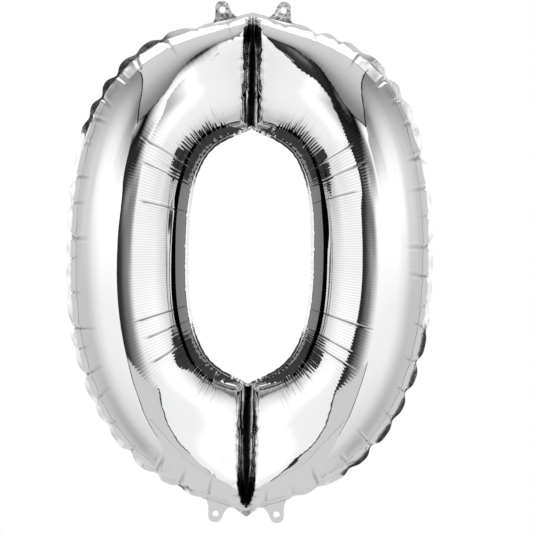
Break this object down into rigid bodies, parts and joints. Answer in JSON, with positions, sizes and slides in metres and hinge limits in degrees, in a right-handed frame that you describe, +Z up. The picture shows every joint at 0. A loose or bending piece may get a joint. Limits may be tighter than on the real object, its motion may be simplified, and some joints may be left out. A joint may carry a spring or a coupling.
{
  "type": "foil number balloon",
  "caption": "Inflated metallised-film balloon shaped like a zero, a ring-shaped tube with welded margins, hanging ears, a neck and a self-closing valve sleeve.",
  "frame": {"origin": "middle of the balloon, on the plane where its two films meet", "axes": "+X right, +Z up along the figure's height, -Y out of the front"},
  "size_m": [0.624, 0.1958, 0.889],
  "materials": {
    "metallised_film": "vacuum-metallised polyester film, mirror bright, with fine pleats",
    "heat_sealed_film": "heat-sealed two-ply film margin, bright with a faint seal grain",
    "clear_film": "clear thin polyethylene film"
  },
  "bodies": {
    "balloon": {"front_panel": "metallised_film", "back_panel": "metallised_film", "outer_weld": "heat_sealed_film", "inner_weld": "heat_sealed_film"},
    "top_left_tab": {"tab_top_left": "metallised_film"},
    "top_right_tab": {"tab_top_right": "metallised_film"},
    "bottom_left_tab": {"tab_bottom_left": "metallised_film"},
    "bottom_right_tab": {"tab_bottom_right": "metallised_film"},
    "front_lip": {"neck_lip_front": "metallised_film"},
    "back_lip": {"neck_lip_back": "metallised_film"},
    "valve_sleeve": {"valve_film_front": "clear_film", "valve_film_back": "clear_film", "valve_side_seal_left": "clear_film", "valve_side_seal_right": "clear_film"}
  },
  "joints": [
    {"name": "top_left_tab_bend", "type": "hinge", "parent": "balloon", "child": "top_left_tab", "pos_m": [-0.052, 0, 0.41223], "axis": [0.9729, 0, 0.2313], "range_deg": [-75, 75], "stiffness_Nm_per_rad": 0.001},
    {"name": "top_right_tab_bend", "type": "hinge", "parent": "balloon", "child": "top_right_tab", "pos_m": [0.052, 0, 0.41223], "axis": [0.9729, 0, -0.2313], "range_deg": [-75, 75], "stiffness_Nm_per_rad": 0.001},
    {"name": "bottom_left_tab_bend", "type": "hinge", "parent": "balloon", "child": "bottom_left_tab", "pos_m": [-0.052, 0, -0.41049], "axis": [-0.9569, 0, 0.2905], "range_deg": [-75, 75], "stiffness_Nm_per_rad": 0.001},
    {"name": "bottom_right_tab_bend", "type": "hinge", "parent": "balloon", "child": "bottom_right_tab", "pos_m": [0.052, 0, -0.41049], "axis": [-0.9569, 0, -0.2905], "range_deg": [-75, 75], "stiffness_Nm_per_rad": 0.001},
    {"name": "front_lip_opening", "type": "hinge", "parent": "balloon", "child": "front_lip", "pos_m": [0, -0.00055, -0.426], "axis": [-1, 0, 0], "range_deg": [0, 60]},
    {"name": "back_lip_opening", "type": "hinge", "parent": "balloon", "child": "back_lip", "pos_m": [0, 0.00055, -0.426], "axis": [1, 0, 0], "range_deg": [0, 60]},
    {"name": "valve_sleeve_swing", "type": "hinge", "parent": "balloon", "child": "valve_sleeve", "pos_m": [0, 0, -0.4115], "axis": [1, 0, 0], "range_deg": [-3, 3], "stiffness_Nm_per_rad": 0.002}
  ]
}
